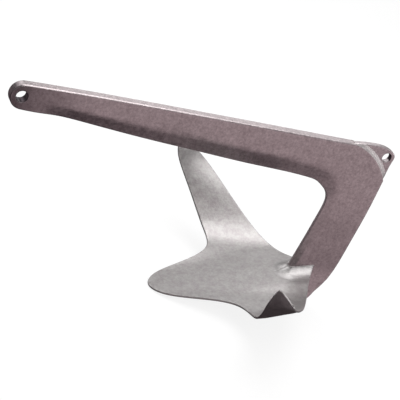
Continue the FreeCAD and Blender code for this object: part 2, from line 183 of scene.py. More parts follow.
def inside(points, loop):
    x, y = points[:, 0], points[:, 1]
    a, b = loop, np.roll(loop, -1, axis=0)
    c = np.zeros(len(points), bool)
    for (x0, y0), (x1, y1) in zip(a, b):
        hit = ((y0 > y) != (y1 > y))
        with np.errstate(divide="ignore", invalid="ignore"):
            c ^= hit & (x < (x1 - x0) * (y - y0) / (y1 - y0 + 1e-30) + x0)
    return c


def smooth_min(a, b, k):
    return np.minimum(a, b) - np.maximum(k - np.abs(a - b), 0) ** 2 / (4 * k)


def smoothstep(x, a, b):
    t = np.clip((x - a) / (b - a), 0, 1)
    return t * t * (3 - 2 * t)


# ---------------------------------------------------------------- mesh helpers
def make(name, verts_mm, faces, rim=None):
    me = bpy.data.meshes.new(name)
    me.from_pydata([tuple(v) for v in metres(verts_mm)], [], [tuple(int(i) for i in f) for f in faces])
    me.validate()
    if rim is not None:
        at = me.attributes.new("rim", "FLOAT", "POINT")
        at.data.foreach_set("value", np.asarray(rim, np.float32))
    ob = bpy.data.objects.new(name, me)
    bpy.context.scene.collection.objects.link(ob)
    bm = bmesh.new()
    bm.from_mesh(me)
    bmesh.ops.recalc_face_normals(bm, faces=bm.faces)
    if bm.calc_volume() < 0:
        bmesh.ops.reverse_faces(bm, faces=bm.faces)
    bm.to_mesh(me)
    bm.free()
    me.polygons.foreach_set("use_smooth", [True] * len(me.polygons))
    me.update()
    return ob


def uneven(points, scale, seed):
    """A value in 0..1 for each point in mm, slow over scale mm."""
    out = np.empty(len(points))
    off = Vector((seed * 7.3, seed * 3.1, seed * 5.7))
    for i, p in enumerate(points):
        out[i] = noise.noise(Vector(p) / scale + off)
    return np.clip(out * 0.5 + 0.5, 0, 1)


def sink(ob, depth, scale, seed):
    """Lowers the surface by up to depth mm in slow, uneven patches, as a forged and dipped face is."""
    me = ob.data
    n = len(me.vertices)
    co = np.empty(n * 3)
    me.vertices.foreach_get("co", co)
    co = co.reshape(-1, 3)
    no = np.array([v.normal[:] for v in me.vertices])
    a = uneven(co * 1000, scale, seed) * 0.65 + uneven(co * 1000, scale * 0.37, seed + 5) * 0.35
    me.vertices.foreach_set("co", (co - no * (a * depth / 1000)[:, None]).ravel())
    me.update()


def cut(ob, tool):
    """Takes the tool's solid out of ob, as a slot that the other piece sits in."""
    m = ob.modifiers.new("slot", "BOOLEAN")
    m.operation = "DIFFERENCE"
    m.solver = "EXACT"
    m.object = tool
    bpy.context.view_layer.update()
    deps = bpy.context.evaluated_depsgraph_get()
    new = bpy.data.meshes.new_from_object(ob.evaluated_get(deps))
    ob.modifiers.clear()
    old = ob.data
    new.name = old.name
    ob.data = new
    bpy.data.meshes.remove(old)
    ob.data.polygons.foreach_set("use_smooth", [True] * len(ob.data.polygons))
    return ob


RIM = np.array([0.0, 12.0, 26.0, 42.0, 60.0, 78.0, 90.0])


def plate(name, outline, radii, height, holes=(), rows=(), grid=4.0, hole_round=1.2, wall=3):
    """A plate lying in the XZ plane, the same on both sides of Y = 0, with rounded edges.
    outline runs with the metal on its left; radii is its edge rounding at each point;
    height gives the half thickness before rounding, for points in the plane."""
    n_out = inward(outline)
    radii = np.asarray(radii, float)
    loops = []
    drops = []
    for a in RIM:
        c, s = 1 - math.cos(math.radians(a)), 1 - math.sin(math.radians(a))
        loops.append(outline + n_out * (radii * c)[:, None])
        drops.append(radii * s)
    hole_loops = []
    for cx, cz, r in holes:
        m = 56
        ang = np.linspace(0, 2 * math.pi, m, endpoint=False)
        unit = np.stack([np.cos(ang), np.sin(ang)], 1)
        ls, ds = [], []
        for a in RIM:
            c, s = 1 - math.cos(math.radians(a)), 1 - math.sin(math.radians(a))
            ls.append(np.array([cx, cz]) + unit * (r + hole_round * c))
            ds.append(np.full(m, hole_round * s))
        hole_loops.append((ls, ds))
    # inner triangulation between the last loops
    inner = loops[-1]
    pts2, edges = [tuple(q) for q in inner], [(i, (i + 1) % len(inner)) for i in range(len(inner))]
    for ls, ds in hole_loops:
        base = len(pts2)
        pts2 += [tuple(q) for q in ls[-1]]
        edges += [(base + i, base + (i + 1) % len(ls[-1])) for i in range(len(ls[-1]))]
    fixed = np.array(pts2)
    free = []
    for q in rows:
        free.append(np.asarray(q))
    lo, hi = outline.min(0), outline.max(0)
    gx = np.arange(lo[0], hi[0], grid)
    gz = np.arange(lo[1], hi[1], grid * 0.87)
    gg = np.array([(x + (grid / 2 if k % 2 else 0), z) for k, z in enumerate(gz) for x in gx])
    free.append(gg)
    kept = fixed
    chosen = []
    for q in free:
        if not len(q):
            continue
        q = q[inside(q, inner)]
        d, _ = nearest(q, inner, True)
        q = q[d > 0.8]
        for ls, ds in hole_loops:
            d, _ = nearest(q, ls[-1], True)
            q = q[(d > 0.7) & ~inside(q, ls[-1])]
        # thin against what is already there
        cell = {}
        for p in kept:
            cell.setdefault((int(p[0] // 2), int(p[1] // 2)), []).append(p)
        add = []
        lim = 0.9 if q is not free[-1] and len(chosen) < len(rows) else grid * 0.5
        for p in q:
            c = (int(p[0] // 2), int(p[1] // 2))
            ok = True
            for ix in (-1, 0, 1):
                for iz in (-1, 0, 1):
                    for o in cell.get((c[0] + ix, c[1] + iz), ()):
                        if (o[0] - p[0]) ** 2 + (o[1] - p[1]) ** 2 < lim * lim:
                            ok = False
                            break
                    if not ok:
                        break
                if not ok:
                    break
            if ok:
                add.append(p)
                cell.setdefault(c, []).append(p)
        chosen.append(np.array(add).reshape(-1, 2))
        kept = np.concatenate([kept, chosen[-1]])
    pts2 = [tuple(q) for q in kept]
    v2, e2, f2, ov, oe, of = delaunay_2d_cdt([Vector(q) for q in pts2], edges, [], 0, 1e-5)
    v2 = np.array([tuple(q) for q in v2])
    tri = []
    mid = np.array([v2[list(f)].mean(0) for f in f2])
    keep = inside(mid, inner)
    for ls, ds in hole_loops:
        keep &= ~inside(mid, ls[-1])
    tri = [f for f, k in zip(f2, keep) if k]
    if len(v2) != len(pts2):
        print(name, "triangulation changed the points", len(pts2), len(v2))
    # vertices: for each side, the rim loops then the field
    verts, rim_at, faces = [], [], []

    def add_side(sign):
        ids = []
        for L, D in zip(loops[:-1], drops[:-1]):
            h = height(L) - D
            base = len(verts)
            for q, hh in zip(L, h):
                verts.append((q[0], sign * hh, q[1]))
                rim_at.append(1.0)
            ids.append(np.arange(base, base + len(L)))
        hids = []
        for ls, ds in hole_loops:
            one = []
            for L, D in zip(ls[:-1], ds[:-1]):
                h = height(L) - D
                base = len(verts)
                for q, hh in zip(L, h):
                    verts.append((q[0], sign * hh, q[1]))
                    rim_at.append(1.0)
                one.append(np.arange(base, base + len(L)))
            hids.append(one)
        base = len(verts)
        h = height(v2)
        dd, _ = nearest(v2, outline, True)
        for q, hh, d in zip(v2, h, dd):
            verts.append((q[0], sign * hh, q[1]))
            rim_at.append(float(max(0.0, 1 - d / 5.0)))
        ids.append(base + np.arange(len(inner)))
        off = base + len(inner)
        for k, (ls, ds) in enumerate(hole_loops):
            hids[k].append(off + np.arange(len(ls[-1])))
            off += len(ls[-1])
        for f in tri:
            g = [base + i for i in f]
            faces.append(g if sign > 0 else g[::-1])
        for group in [ids] + hids:
            for a, b in zip(group[:-1], group[1:]):
                n = len(a)
                for i in range(n):
                    j = (i + 1) % n
                    g = [a[i], a[j], b[j], b[i]]
                    faces.append(g if sign > 0 else g[::-1])
        return ids[0], [g[0] for g in hids]

    out_p, holes_p = add_side(1)
    out_n, holes_n = add_side(-1)
    for a, b in [(out_p, out_n)] + list(zip(holes_p, holes_n)):
        prev = a
        n = len(a)
        va = np.array([verts[i] for i in a])
        vb = np.array([verts[i] for i in b])
        for w in range(1, wall + 1):
            if w == wall:
                cur = b
            else:
                f = w / wall
                base = len(verts)
                for p, q in zip(va, vb):
                    verts.append(tuple(p + (q - p) * f))
                    rim_at.append(0.6)
                cur = np.arange(base, base + n)
            for i in range(n):
                j = (i + 1) % n
                faces.append([prev[i], cur[i], cur[j], prev[j]])
            prev = cur
    return make(name, verts, faces, rim_at)


# ---------------------------------------------------------------- shank
STEP = 2.4
a_start = math.atan2(CROWN_START[1] - CROWN[1], CROWN_START[0] - CROWN[0])
a_end = math.atan2(CROWN_END[1] - CROWN[1], CROWN_END[0] - CROWN[0])
leg_run = curve(OUTLINE["leg"], STEP)
# the outline runs clockwise seen along +Y with Z up; reversed below so that the metal is on the left
runs = [
    ("top", curve([(NOSE[0], NOSE[1] + NOSE[2])] + OUTLINE["top"][1:], STEP)),
    ("crown", arc(CROWN[0], CROWN[1], CROWN[2], a_start, a_end, STEP)),
    ("outer", curve(OUTLINE["outer"], STEP)),
    ("heel", curve(OUTLINE["heel"], STEP)),
    ("foot", curve(OUTLINE["foot"], STEP)),
    ("jaw", curve(OUTLINE["jaw"], STEP)),
    ("step", curve(OUTLINE["step"], STEP)),
    ("leg", np.concatenate([leg_run[:-1], [(NOSE[0], NOSE[1] - NOSE[2])]])),
    ("nose", arc(NOSE[0], NOSE[1], NOSE[2], -math.pi / 2, -3 * math.pi / 2, 1.6)),
]
shank_loop, shank_tags = loop_of(runs)
shank_loop, shank_tags = shank_loop[::-1].copy(), shank_tags[::-1]
ROUND = {"top": 2.0, "crown": 0.7, "outer": 1.5, "heel": 2.0, "foot": 1.5, "jaw": 0.3, "step": 0.3, "leg": 1.1, "nose": 2.0}
radii = np.array([ROUND[t] for t in shank_tags])
for _ in range(5):  # let the rounding change gradually
    radii = 0.25 * np.roll(radii, 1) + 0.5 * radii + 0.25 * np.roll(radii, -1)
crease_run = curve(CREASE, 1.2)
edge_run = leg_run
crease_w, _ = nearest(edge_run, crease_run)
for _ in range(12):
    crease_w[1:-1] = 0.25 * crease_w[:-2] + 0.5 * crease_w[1:-1] + 0.25 * crease_w[2:]
edge_depth = (HALF - CORE) * smoothstep(edge_run[:, 0], 16.0, 66.0)


def shank_height(p):
    p = np.asarray(p, float)
    d, at = nearest(p, edge_run)
    idx = np.arange(len(edge_run))
    w = np.interp(at, idx, crease_w)
    depth = np.interp(at, idx, edge_depth)
    bevel = HALF - depth * (1 - d / w)
    k = np.clip(0.32 * depth, 0.05, 1.3)
    return smooth_min(np.full(len(p), HALF), bevel, k)


edge_n = np.zeros_like(edge_run)
tt = np.gradient(edge_run, axis=0)
tt /= np.linalg.norm(tt, axis=1)[:, None]
edge_n = np.stack([tt[:, 1], -tt[:, 0]], 1)  # into the metal
rows = []
for off in (2.2, 3.4, 4.8, 6.4, 8.0, 9.6, 11.2, 12.8, 14.4, 16.0, 18.0, 20.5):
    rows.append(edge_run + edge_n * off)
shank = plate("shank_forging", shank_loop, radii, shank_height, holes=[(0.0, 0.0, 7.5)], rows=rows, grid=4.0, hole_round=1.0, wall=5)

# ---------------------------------------------------------------- claw
FRONT = [(254.6, 0.0, -254.34), (271.39, 24.4, -250.59), (306.63, 38.47, -241.44), (341.85, 51.46, -231.64), (366.18, 68.02, -224.9), (373.59, 89.08, -222.66), (369.12, 110.08, -215.22),
         (361.14, 128.41, -200.78), (352.04, 144.95, -184.4), (342.19, 160.52, -168.46), (332.98, 174.44, -153.35), (327.0, 184.11, -140.72), (326.25, 187.25, -132.55)]
REAR = [(497.51, 0.0, -195.23), (491.06, 20.72, -197.01), (483.3, 33.04, -199.97), (479.27, 43.82, -204.49), (470.83, 62.18, -208.65), (455.28, 85.81, -204.87), (438.71, 107.25, -194.15),
        (424.1, 125.76, -182.71), (410.11, 143.85, -171.26), (395.3, 163.26, -158.76), (381.05, 181.42, -147.53), (369.97, 193.78, -140.06), (363.37, 197.95, -136.7)]
TIP = [(326.4, 191.4, -121.6), (326.3, 194.2, -114.6), (327.6, 197.3, -108.6), (334.5, 199.0, -112.2), (343.5, 199.6, -119.4), (350.5, 199.6, -125.3), (356.5, 199.2, -130.6)]


def bspline(ctrl, t, deg=3):
    """Clamped uniform B-spline over -1..1."""
    n = len(ctrl)
    kn = np.concatenate([[-1.0] * deg, np.linspace(-1, 1, n - deg + 1), [1.0] * deg])
    t = np.clip(t, -1, 1 - 1e-9)
    b = np.zeros((len(kn) - 1, len(t)))
    for i in range(len(kn) - 1):
        b[i] = (kn[i] <= t) & (t < kn[i + 1])
    for d in range(1, deg + 1):
        nb = np.zeros((len(kn) - 1 - d, len(t)))
        for i in range(len(kn) - 1 - d):
            if kn[i + d] > kn[i]:
                nb[i] += (t - kn[i]) / (kn[i + d] - kn[i]) * b[i]
            if kn[i + d + 1] > kn[i + 1]:
                nb[i] += (kn[i + d + 1] - t) / (kn[i + d + 1] - kn[i + 1]) * b[i + 1]
        b = nb
    return b.T @ np.asarray(ctrl, float)


def mirrored(ctrl):
    c = np.asarray(ctrl, float)
    return np.concatenate([(c * [1, -1, 1])[:0:-1], c])


ROWS_HALF = 118
t_rows = np.linspace(-1, 1, 2 * ROWS_HALF + 1)
fr, rr = bspline(mirrored(FRONT), t_rows), bspline(mirrored(REAR), t_rows)
COLS = 56


def columns(length):
    """Shares across a ruling, closer together at the two rounded edges."""
    near = np.array([0.0, 0.10, 0.35, 0.75, 1.3, 2.0, 2.9]) / length
    midv = np.linspace(near[-1], 1 - near[-1], COLS - 2 * (len(near) - 1) + 1)
    return np.concatenate([near[:-1], midv, 1 - near[:-1][::-1]])


top = np.array([f + (r - f) * columns(np.linalg.norm(r - f))[:, None] for f, r in zip(fr, rr)])
# end of a side palm: from the last ruling to the pointed end
tip_curve = curve(TIP, 0.5)
s_tip = np.concatenate([[0.0], np.cumsum(np.linalg.norm(np.diff(tip_curve, axis=0), axis=1))])
v_last = columns(np.linalg.norm(rr[-1] - fr[-1]))
end_row = np.stack([np.interp(v_last * s_tip[-1], s_tip, tip_curve[:, c]) for c in range(3)], 1)
tangent = top[-1] - top[-2]
tangent /= np.linalg.norm(tangent, axis=1)[:, None]
gap = np.linalg.norm(end_row - top[-1], axis=1)[:, None]
extra = []
TIP_T = [0.12, 0.24, 0.36, 0.48, 0.60, 0.70, 0.78, 0.85, 0.905, 0.945, 0.972, 0.99, 1.0]
for q in TIP_T:
    h00, h10, h01, h11 = 2 * q ** 3 - 3 * q ** 2 + 1, q ** 3 - 2 * q ** 2 + q, -2 * q ** 3 + 3 * q ** 2, q ** 3 - q ** 2
    out = end_row - top[-1]
    extra.append(h00 * top[-1] + h10 * tangent * gap * 0.8 + h01 * end_row + h11 * out * 0.9)
extra = np.array(extra)
sheet = np.concatenate([(extra * [1, -1, 1])[::-1], top, extra])
NI, NJ = sheet.shape[:2]
di = np.gradient(sheet, axis=0)
dj = np.gradient(sheet, axis=1)
nrm = np.cross(di, dj)
nrm /= np.linalg.norm(nrm, axis=2)[:, :, None] + 1e-12
nrm[nrm[:, :, 2] < 0] *= -1
for _ in range(2):
    nrm[1:-1] = 0.25 * nrm[:-2] + 0.5 * nrm[1:-1] + 0.25 * nrm[2:]
    nrm /= np.linalg.norm(nrm, axis=2)[:, :, None]
# distance from the edges, across the ruling and from the two ends
across = np.concatenate([np.zeros((NI, 1)), np.cumsum(np.linalg.norm(np.diff(sheet, axis=1), axis=2), axis=1)], axis=1)
d_front, d_rear = across, across[:, -1:] - across
along = np.concatenate([np.zeros((1, NJ)), np.cumsum(np.linalg.norm(np.diff(sheet, axis=0), axis=2), axis=0)], axis=0)
d_end = np.minimum(along, along[-1:] - along)
d_edge = np.minimum(np.minimum(d_front, d_rear), d_end)
far = np.abs(np.concatenate([np.full(len(extra), -1.0), t_rows, np.full(len(extra), 1.0)]))
EDGE_T = 3.4
core_t = 10.0 + (4.4 - 10.0) * smoothstep(far, 0.26, 0.55)
grow = 16.0 + 36.0 * (1 - smoothstep(far, 0.12, 0.5))[:, None]
swell = np.minimum(np.minimum(smoothstep(d_front / grow, 0.03, 1.0), smoothstep(d_rear, 1.0, 16.0)), smoothstep(d_end, 1.0, 16.0))
thick = EDGE_T + (core_t[:, None] - EDGE_T) * swell
r_edge = EDGE_T / 2
dd = np.clip(d_edge, 0, r_edge)
drop = r_edge - np.sqrt(np.maximum(r_edge ** 2 - (r_edge - dd) ** 2, 0))
drop = np.minimum(drop, thick / 2)
upper = sheet - nrm * drop[:, :, None]
lower = sheet - nrm * (thick - drop)[:, :, None]
idx_up = np.arange(NI * NJ).reshape(NI, NJ)
idx_lo = idx_up + NI * NJ
edge_mask = np.zeros((NI, NJ), bool)
edge_mask[0], edge_mask[-1], edge_mask[:, 0], edge_mask[:, -1] = True, True, True, True
mid = 0.5 * (upper + lower)
upper[edge_mask] = mid[edge_mask]
idx_lo[edge_mask] = idx_up[edge_mask]
claw_faces = []
for i in range(NI - 1):
    for j in range(NJ - 1):
        a = [idx_up[i, j], idx_up[i, j + 1], idx_up[i + 1, j + 1], idx_up[i + 1, j]]
        b = [idx_lo[i, j], idx_lo[i + 1, j], idx_lo[i + 1, j + 1], idx_lo[i, j + 1]]
        claw_faces += [a, b]
claw_verts = np.concatenate([upper.reshape(-1, 3), lower.reshape(-1, 3)])
used = np.unique(np.array(claw_faces))
remap = -np.ones(len(claw_verts), int)
remap[used] = np.arange(len(used))
rim_claw = np.concatenate([np.clip(1 - d_edge / 4.0, 0, 1).ravel()] * 2)[used]
claw = make("claw_casting", claw_verts[used], [[remap[i] for i in f] for f in claw_faces], rim_claw)
sink(claw, 0.22, 30.0, 2)

# ---------------------------------------------------------------- keel rib
claw_tree = BVHTree.FromObject(claw, bpy.context.evaluated_depsgraph_get())


def claw_top(x, y):
    """z of the claw's upper surface in mm at x, y, or None beyond its edge."""
    hit = claw_tree.ray_cast(W(x, y, -100.0), Vector((0, 0, -1)))
    return None if hit[0] is None else hit[0].z * 1000 - DATUM[2]


def claw_under(x, y):
    hit = claw_tree.ray_cast(W(x, y, -400.0), Vector((0, 0, 1)))
    return None if hit[0] is None else hit[0].z * 1000 - DATUM[2]


rear_half = rr[ROWS_HALF:]


def claw_level(x, y):
    """The upper surface carried straight on past the rounding of the claw's rear edge."""
    xe = float(np.interp(y, rear_half[:60, 1], rear_half[:60, 0]))
    if x < xe - 3.5:
        return claw_top(x, y)
    z1, z2 = claw_top(xe - 3.5, y), claw_top(xe - 9.5, y)
    return z1 + (z1 - z2) / 6.0 * (x - xe + 3.5)


inner_line = []
for x in (484.0, 470.0, 445.0, 420.0, 400.0, 375.0, 350.0, 330.0, 312.0, 298.0, 292.0):
    inner_line.append((x, 0.5 * (claw_top(x, 0.0) + claw_under(x, 0.0))))
keel_loop, _ = loop_of([
    ("low", curve(KEEL, STEP)),
    ("nose", curve([KEEL[-1], inner_line[-1]], 1.0)),
    ("in", curve(inner_line[::-1], STEP)),
    ("back", curve([inner_line[0], KEEL[0]], STEP)),
])
area = 0.5 * (keel_loop[:, 0] * np.roll(keel_loop[:, 1], -1) - np.roll(keel_loop[:, 0], -1) * keel_loop[:, 1]).sum()
if area < 0:
    keel_loop = keel_loop[::-1].copy()
keel = plate("keel_plate", keel_loop, np.full(len(keel_loop), 1.1), lambda p: np.full(len(p), 6.0), grid=5.0, wall=4)

# ---------------------------------------------------------------- tripping lug
lug_loop, lug_tags = loop_of([
    ("edge", curve(LUG, 1.5)),
    ("arc", arc(CROWN[0], CROWN[1], CROWN[2], a_end, a_start, 2.0)),
])
area = 0.5 * (lug_loop[:, 0] * np.roll(lug_loop[:, 1], -1) - np.roll(lug_loop[:, 0], -1) * lug_loop[:, 1]).sum()
if area < 0:
    lug_loop, lug_tags = lug_loop[::-1].copy(), lug_tags[::-1]
lug_radii = np.array([1.4 if t == "edge" else 0.15 for t in lug_tags])
for _ in range(2):
    lug_radii = 0.25 * np.roll(lug_radii, 1) + 0.5 * lug_radii + 0.25 * np.roll(lug_radii, -1)
lug = plate("lug_plate", lug_loop, lug_radii, lambda p: np.full(len(p), LUG_HALF), holes=[(535.0, 0.0, 6.8)], grid=2.5, hole_round=1.0, wall=4)


# ---------------------------------------------------------------- welds
def swept(name, sections, closed_ends=True):
    """A closed bead from a list of closed sections, each the same number of points."""
    s = np.asarray(sections, float)
    n, m = s.shape[:2]
    faces = []
    for i in range(n - 1):
        for j in range(m):
            k = (j + 1) % m
            faces.append([i * m + j, i * m + k, (i + 1) * m + k, (i + 1) * m + j])
    faces.append(list(range(m))[::-1])
    faces.append([(n - 1) * m + j for j in range(m)])
    return make(name, s.reshape(-1, 3), faces, np.full(n * m, 0.35))


def lug_bead(name, side):
    """Concave run-out from the side of the shank down to the thinner lug, along the crown."""
    out = []
    lug_poly = lug_loop
    for a in np.linspace(a_start + 0.012, a_end - 0.012, 64):
        c, s = math.cos(a), math.sin(a)
        # how far the lug reaches outward here
        reach = 0.0
        for r in np.arange(0.2, 8.2, 0.2):
            p = np.array([[CROWN[0] + (CROWN[2] + r) * c, CROWN[1] + (CROWN[2] + r) * s]])
            if inside(p, lug_poly)[0]:
                reach = r
            else:
                break
        reach = min(6.6, max(reach - 0.6, 0.25))
        sec = []
        hi = LUG_HALF + (6.75 - LUG_HALF) * min(1.0, 0.35 + reach / 5.0)
        m = 9
        for k in range(m):
            th = math.radians(90.0 * k / (m - 1))
            rr_ = reach * (1 - math.cos(th)) * 0.55 + reach * (k / (m - 1)) * 0.45
            yy = hi - (hi - LUG_HALF + 0.12) * (math.sin(th) * 0.45 + (k / (m - 1)) * 0.55)
            sec.append((CROWN[0] + (CROWN[2] + rr_ - 0.3 * (k == 0)) * c, side * yy, CROWN[1] + (CROWN[2] + rr_ - 0.3 * (k == 0)) * s))
        sec.append((CROWN[0] + (CROWN[2] + reach * 0.5) * c, side * (LUG_HALF - 0.4), CROWN[1] + (CROWN[2] + reach * 0.5) * s))
        sec.append((CROWN[0] + (CROWN[2] - 0.5) * c, side * (LUG_HALF - 0.4), CROWN[1] + (CROWN[2] - 0.5) * s))
        sec.append((CROWN[0] + (CROWN[2] - 0.5) * c, side * (hi - 0.5), CROWN[1] + (CROWN[2] - 0.5) * s))
        out.append(sec)
    return swept(name, out)


lug_port, lug_star = lug_bead("lug_bead_port", 1), lug_bead("lug_bead_starboard", -1)

FOOT = [  # on the shank (x, y), at the toe (x, y), share of full height
    (497.4, 7.15, 486.2, 27.15, 1.0), (491.0, 7.15, 484.0, 27.15, 1.0), (484.0, 7.15, 479.5, 27.4, 1.0), (477.0, 7.15, 473.4, 27.6, 1.0), (470.5, 7.15, 466.0, 27.0, 1.0),
    (466.0, 7.15, 457.4, 24.2, 1.0), (464.0, 6.9, 451.0, 19.6, 0.99), (463.0, 5.6, 446.8, 14.2, 0.97), (462.4, 4.0, 444.4, 9.4, 0.95), (462.1, 2.0, 443.3, 4.7, 0.94), (462.0, 0.0, 443.0, 0.0, 0.93)]
foot_table = np.array(FOOT)
seglen = np.linalg.norm(np.diff(0.5 * (foot_table[:, :2] + foot_table[:, 2:4]), axis=0), axis=1)
foot_s = np.concatenate([[0.0], np.cumsum(seglen)])


def foot_weld(name, side):
    """Concave fillet between the shank's foot and the claw, wrapped round the front of the foot."""
    n = 46
    s = np.linspace(0, foot_s[-1], n)
    tab = curve_table(foot_s, foot_table, s)
    grid_up, grid_lo = [], []
    for x0, y0, x1, y1, share in tab:
        up, lo = [], []
        # starts just inside the shank, and ends by running gently under the claw's surface
        shares = (0.0, 0.007, 0.015, 0.025, 0.04, 0.06, 0.09, 0.13, 0.18, 0.23, 0.29, 0.35, 0.42, 0.49, 0.56, 0.63, 0.70, 0.77, 0.83, 0.89, 0.95, 1.0)
        stations = [(-0.10, 1.0)] + [(u, 0.87 * (1 - u) ** 1.9 + 0.13 * max(0.0, 1 - u / 0.08) ** 2) for u in shares] + [(1.05, 0.0), (1.10, 0.0)]
        for k, (c, sn) in enumerate(stations):
            x, y = x0 + (x1 - x0) * c, max(0.0, y0 + (y1 - y0) * c)
            zt = claw_level(x, y)
            z = zt + 9.8 * share * sn + (0.02 if k < len(stations) - 2 else -0.05 if k < len(stations) - 1 else -0.22)
            up.append((x, side * y, z))
            lo.append((x, side * y, zt - 2.2))
        grid_up.append(up)
        grid_lo.append(lo)
    gu, gl = np.array(grid_up), np.array(grid_lo)
    m = gu.shape[1]
    verts = np.concatenate([gu.reshape(-1, 3), gl.reshape(-1, 3)])
    faces = []
    N = n * m
    for i in range(n - 1):
        for j in range(m - 1):
            faces.append([i * m + j, i * m + j + 1, (i + 1) * m + j + 1, (i + 1) * m + j])
            faces.append([N + i * m + j, N + (i + 1) * m + j, N + (i + 1) * m + j + 1, N + i * m + j + 1])
    for i in range(n - 1):
        for j in (0, m - 1):
            q = [i * m + j, (i + 1) * m + j, N + (i + 1) * m + j, N + i * m + j]
            faces.append(q if j == 0 else q[::-1])
    for j in range(m - 1):
        for i in (0, n - 1):
            q = [i * m + j, i * m + j + 1, N + i * m + j + 1, N + i * m + j]
            faces.append(q[::-1] if i == 0 else q)
    return make(name, verts, faces, np.full(len(verts), 0.3))


def curve_table(s0, table, s):
    """Smooth values of each column of a table at new places."""
    cols = []
    n = len(s0)
    h = np.diff(s0)
    a = np.zeros((n, n))
    a[0, 0] = a[-1, -1] = 1
    for i in range(1, n - 1):
        a[i, i - 1], a[i, i], a[i, i + 1] = h[i - 1], 2 * (h[i - 1] + h[i]), h[i]
    for c in range(table.shape[1]):
        y = table[:, c]
        b = np.zeros(n)
        for i in range(1, n - 1):
            b[i] = 6 * ((y[i + 1] - y[i]) / h[i] - (y[i] - y[i - 1]) / h[i - 1])
        m = np.linalg.solve(a, b)
        k = np.clip(np.searchsorted(s0, s, side="right") - 1, 0, n - 2)
        u = s - s0[k]
        w = h[k] - u
        cols.append(m[k] * w ** 3 / (6 * h[k]) + m[k + 1] * u ** 3 / (6 * h[k]) + (y[k] / h[k] - m[k] * h[k] / 6) * w + (y[k + 1] / h[k] - m[k + 1] * h[k] / 6) * u)
    return np.stack(cols, 1)


foot_port, foot_star = foot_weld("foot_fillet_port", 1), foot_weld("foot_fillet_starboard", -1)


def keel_bead(name, side):
    out = []
    n = 170
    for k in range(n):
        f = k / (n - 1)
        x = 480.0 + (318.0 - 480.0) * f
        size = 5.2 * (1.0 - 0.45 * smoothstep(np.array([f]), 0.75, 1.0)[0])
        ripple = 0.22 * abs(math.sin(math.pi * (x / 2.6)))
        z0 = claw_under(x, 6.0)
        z1 = claw_under(x, 6.0 + size)
        size = size - ripple
        sec = []
        m = 9
        for q in range(m):
            th = math.radians(90.0 * q / (m - 1))
            sec.append((x, side * (6.0 + size * (1 - math.cos(th)) * 0.6 + size * 0.4 * q / (m - 1)), (z0 + (z1 - z0) * q / (m - 1)) - size * ((1 - math.sin(th)) * 0.6 + 0.4 * (1 - q / (m - 1)))))
        sec.append((x, side * (6.0 + size), z1 + 1.6))
        sec.append((x, side * 5.5, z0 + 1.6))
        sec.append((x, side * 5.5, z0 - size))
        out.append(sec)
    return swept(name, out)


keel_port, keel_star = keel_bead("keel_bead_port", 1), keel_bead("keel_bead_starboard", -1)

# surfaces that are not quite flat, then the slots that the claw sits in
sink(shank, 0.16, 26.0, 1)
sink(lug, 0.08, 12.0, 3)
sink(keel, 0.12, 20.0, 4)
cut(shank, claw)
cut(keel, claw)


def tidy(ob):
    """Joins corners that coincide, drops faces folded flat on themselves and closes pinholes, so the skin is one closed surface."""
    me = ob.data
    bm = bmesh.new()
    bm.from_mesh(me)
    bmesh.ops.remove_doubles(bm, verts=bm.verts, dist=1e-6)
    bmesh.ops.dissolve_degenerate(bm, edges=bm.edges, dist=1e-6)
    bmesh.ops.dissolve_verts(bm, verts=[v for v in bm.verts if len(v.link_edges) == 2])
    bmesh.ops.triangulate(bm, faces=[f for f in bm.faces if len(f.verts) > 4])
    for _ in range(3):
        seen, twice = {}, set()
        for f in bm.faces:
            key = tuple(sorted(v.index for v in f.verts))
            if key in seen:
                twice.update((seen[key], f))
            seen[key] = f
        if twice:
            bmesh.ops.delete(bm, geom=list(twice), context="FACES_ONLY")
        loose = [e for e in bm.edges if not e.link_faces]
        bmesh.ops.delete(bm, geom=loose, context="EDGES")
        bmesh.ops.delete(bm, geom=[v for v in bm.verts if not v.link_faces], context="VERTS")
        gaps = [e for e in bm.edges if e.is_boundary]
        if gaps:
            bmesh.ops.holes_fill(bm, edges=gaps, sides=0)
        bm.verts.index_update()
        if not twice and not gaps:
            break
    bmesh.ops.recalc_face_normals(bm, faces=bm.faces)
    if bm.calc_volume(signed=True) < 0:
        bmesh.ops.reverse_faces(bm, faces=bm.faces)
    print("tidy", ob.name, "open", sum(e.is_boundary for e in bm.edges), "shared by more than two", sum(len(e.link_faces) > 2 for e in bm.edges))
    bm.to_mesh(me)
    bm.free()
    me.polygons.foreach_set("use_smooth", [True] * len(me.polygons))
    me.update()


for ob in (shank, claw, lug, keel, foot_port, foot_star, keel_port, keel_star, lug_port, lug_star):
    tidy(ob)


def painted_shade_and_tone(ob, share):
    """Marks how far each place is darkened: painted shade on the shank and lug, the claw's darker tone on the foot
    welds; 0 as dipped, 1 darkest. share takes x, y, z in mm and the normal.
    """
    me = ob.data
    n = len(me.vertices)
    co, no = np.empty(n * 3), np.empty(n * 3)
    me.vertices.foreach_get("co", co)
    me.vertices.foreach_get("normal", no)
    co, no = co.reshape(-1, 3) * 1000 - DATUM, no.reshape(-1, 3)
    at = me.attributes.new("painted_shade_and_tone", "FLOAT", "POINT")
    at.data.foreach_set("value", np.clip(share(co, no), 0, 1).astype(np.float32))


